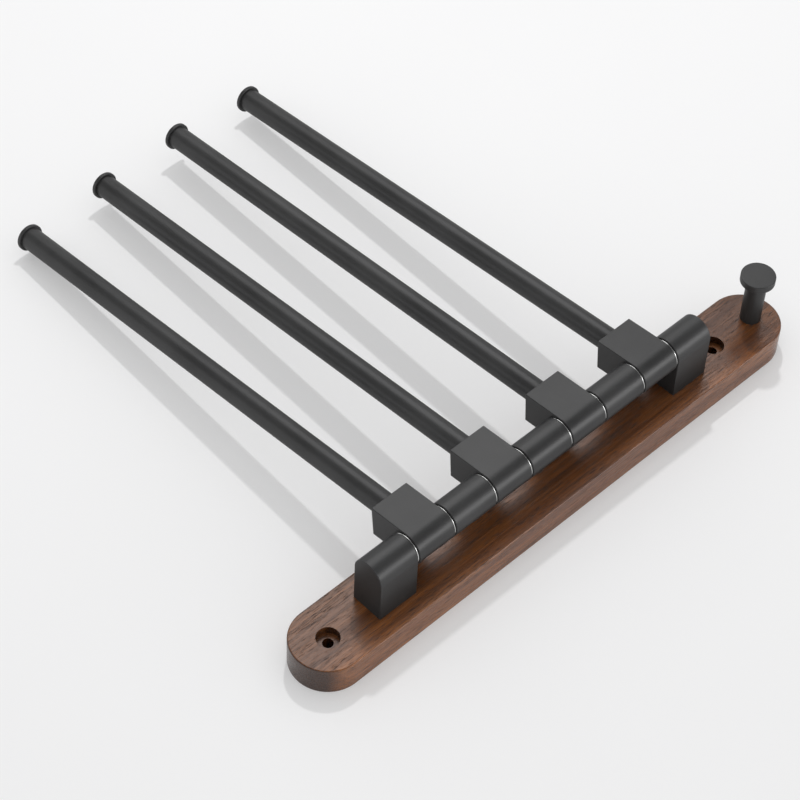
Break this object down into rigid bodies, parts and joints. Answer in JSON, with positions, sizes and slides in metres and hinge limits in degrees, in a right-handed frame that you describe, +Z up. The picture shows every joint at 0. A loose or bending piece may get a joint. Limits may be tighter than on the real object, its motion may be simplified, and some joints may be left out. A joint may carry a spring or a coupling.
{
  "type": "swing arm towel bar",
  "caption": "Wall towel rack: round rods on square hubs that swing about one upright shaft between two arch brackets, on a long wooden board with a peg at its lower end.",
  "frame": {"origin": "centre of the board's back face, on the wall", "axes": "+Z up along the board and the pivot shaft, +Y into the wall, +X to the side on which the arms lie folded; the rack faces -Y"},
  "size_m": [0.3506, 0.055, 0.363],
  "materials": {
    "walnut": "oiled walnut",
    "black_metal": "satin black",
    "steel": "plain steel",
    "washer_steel": "bright stainless",
    "nylon": "natural nylon"
  },
  "bodies": {
    "wall_frame": {"back_board": "walnut", "bracket_upper": "black_metal", "bracket_lower": "black_metal", "pivot_shaft": "steel", "washer_1": "washer_steel", "washer_2": "washer_steel", "washer_3": "washer_steel", "washer_4": "washer_steel", "washer_5": "washer_steel", "washer_6": "washer_steel", "washer_7": "washer_steel", "washer_8": "washer_steel", "spacer_1": "black_metal", "spacer_2": "black_metal", "spacer_3": "black_metal", "hook_peg": "black_metal", "hook_peg_screw": "steel", "bracket_screw_upper_1": "steel", "bracket_screw_upper_2": "steel", "bracket_screw_lower_1": "steel", "bracket_screw_lower_2": "steel"},
    "arm_1": {"arm_hub_1": "black_metal", "hub_bush_1": "nylon", "towel_rod_1": "black_metal", "end_cap_1": "black_metal", "rod_grub_screw_1": "steel"},
    "arm_2": {"arm_hub_2": "black_metal", "hub_bush_2": "nylon", "towel_rod_2": "black_metal", "end_cap_2": "black_metal", "rod_grub_screw_2": "steel"},
    "arm_3": {"arm_hub_3": "black_metal", "hub_bush_3": "nylon", "towel_rod_3": "black_metal", "end_cap_3": "black_metal", "rod_grub_screw_3": "steel"},
    "arm_4": {"arm_hub_4": "black_metal", "hub_bush_4": "nylon", "towel_rod_4": "black_metal", "end_cap_4": "black_metal", "rod_grub_screw_4": "steel"}
  },
  "joints": [
    {"name": "arm_1_swing", "type": "hinge", "parent": "wall_frame", "child": "arm_1", "pos_m": [0, -0.045, 0.0936], "axis": [0, 0, -1], "range_deg": [-0.3, 192.3]},
    {"name": "arm_2_swing", "type": "hinge", "parent": "wall_frame", "child": "arm_2", "pos_m": [0, -0.045, 0.0372], "axis": [0, 0, -1], "range_deg": [-1.1, 191.5]},
    {"name": "arm_3_swing", "type": "hinge", "parent": "wall_frame", "child": "arm_3", "pos_m": [0, -0.045, -0.0192], "axis": [0, 0, -1], "range_deg": [-1.7, 190.9]},
    {"name": "arm_4_swing", "type": "hinge", "parent": "wall_frame", "child": "arm_4", "pos_m": [0, -0.045, -0.0756], "axis": [0, 0, -1], "range_deg": [-0.9, 191.7]}
  ]
}
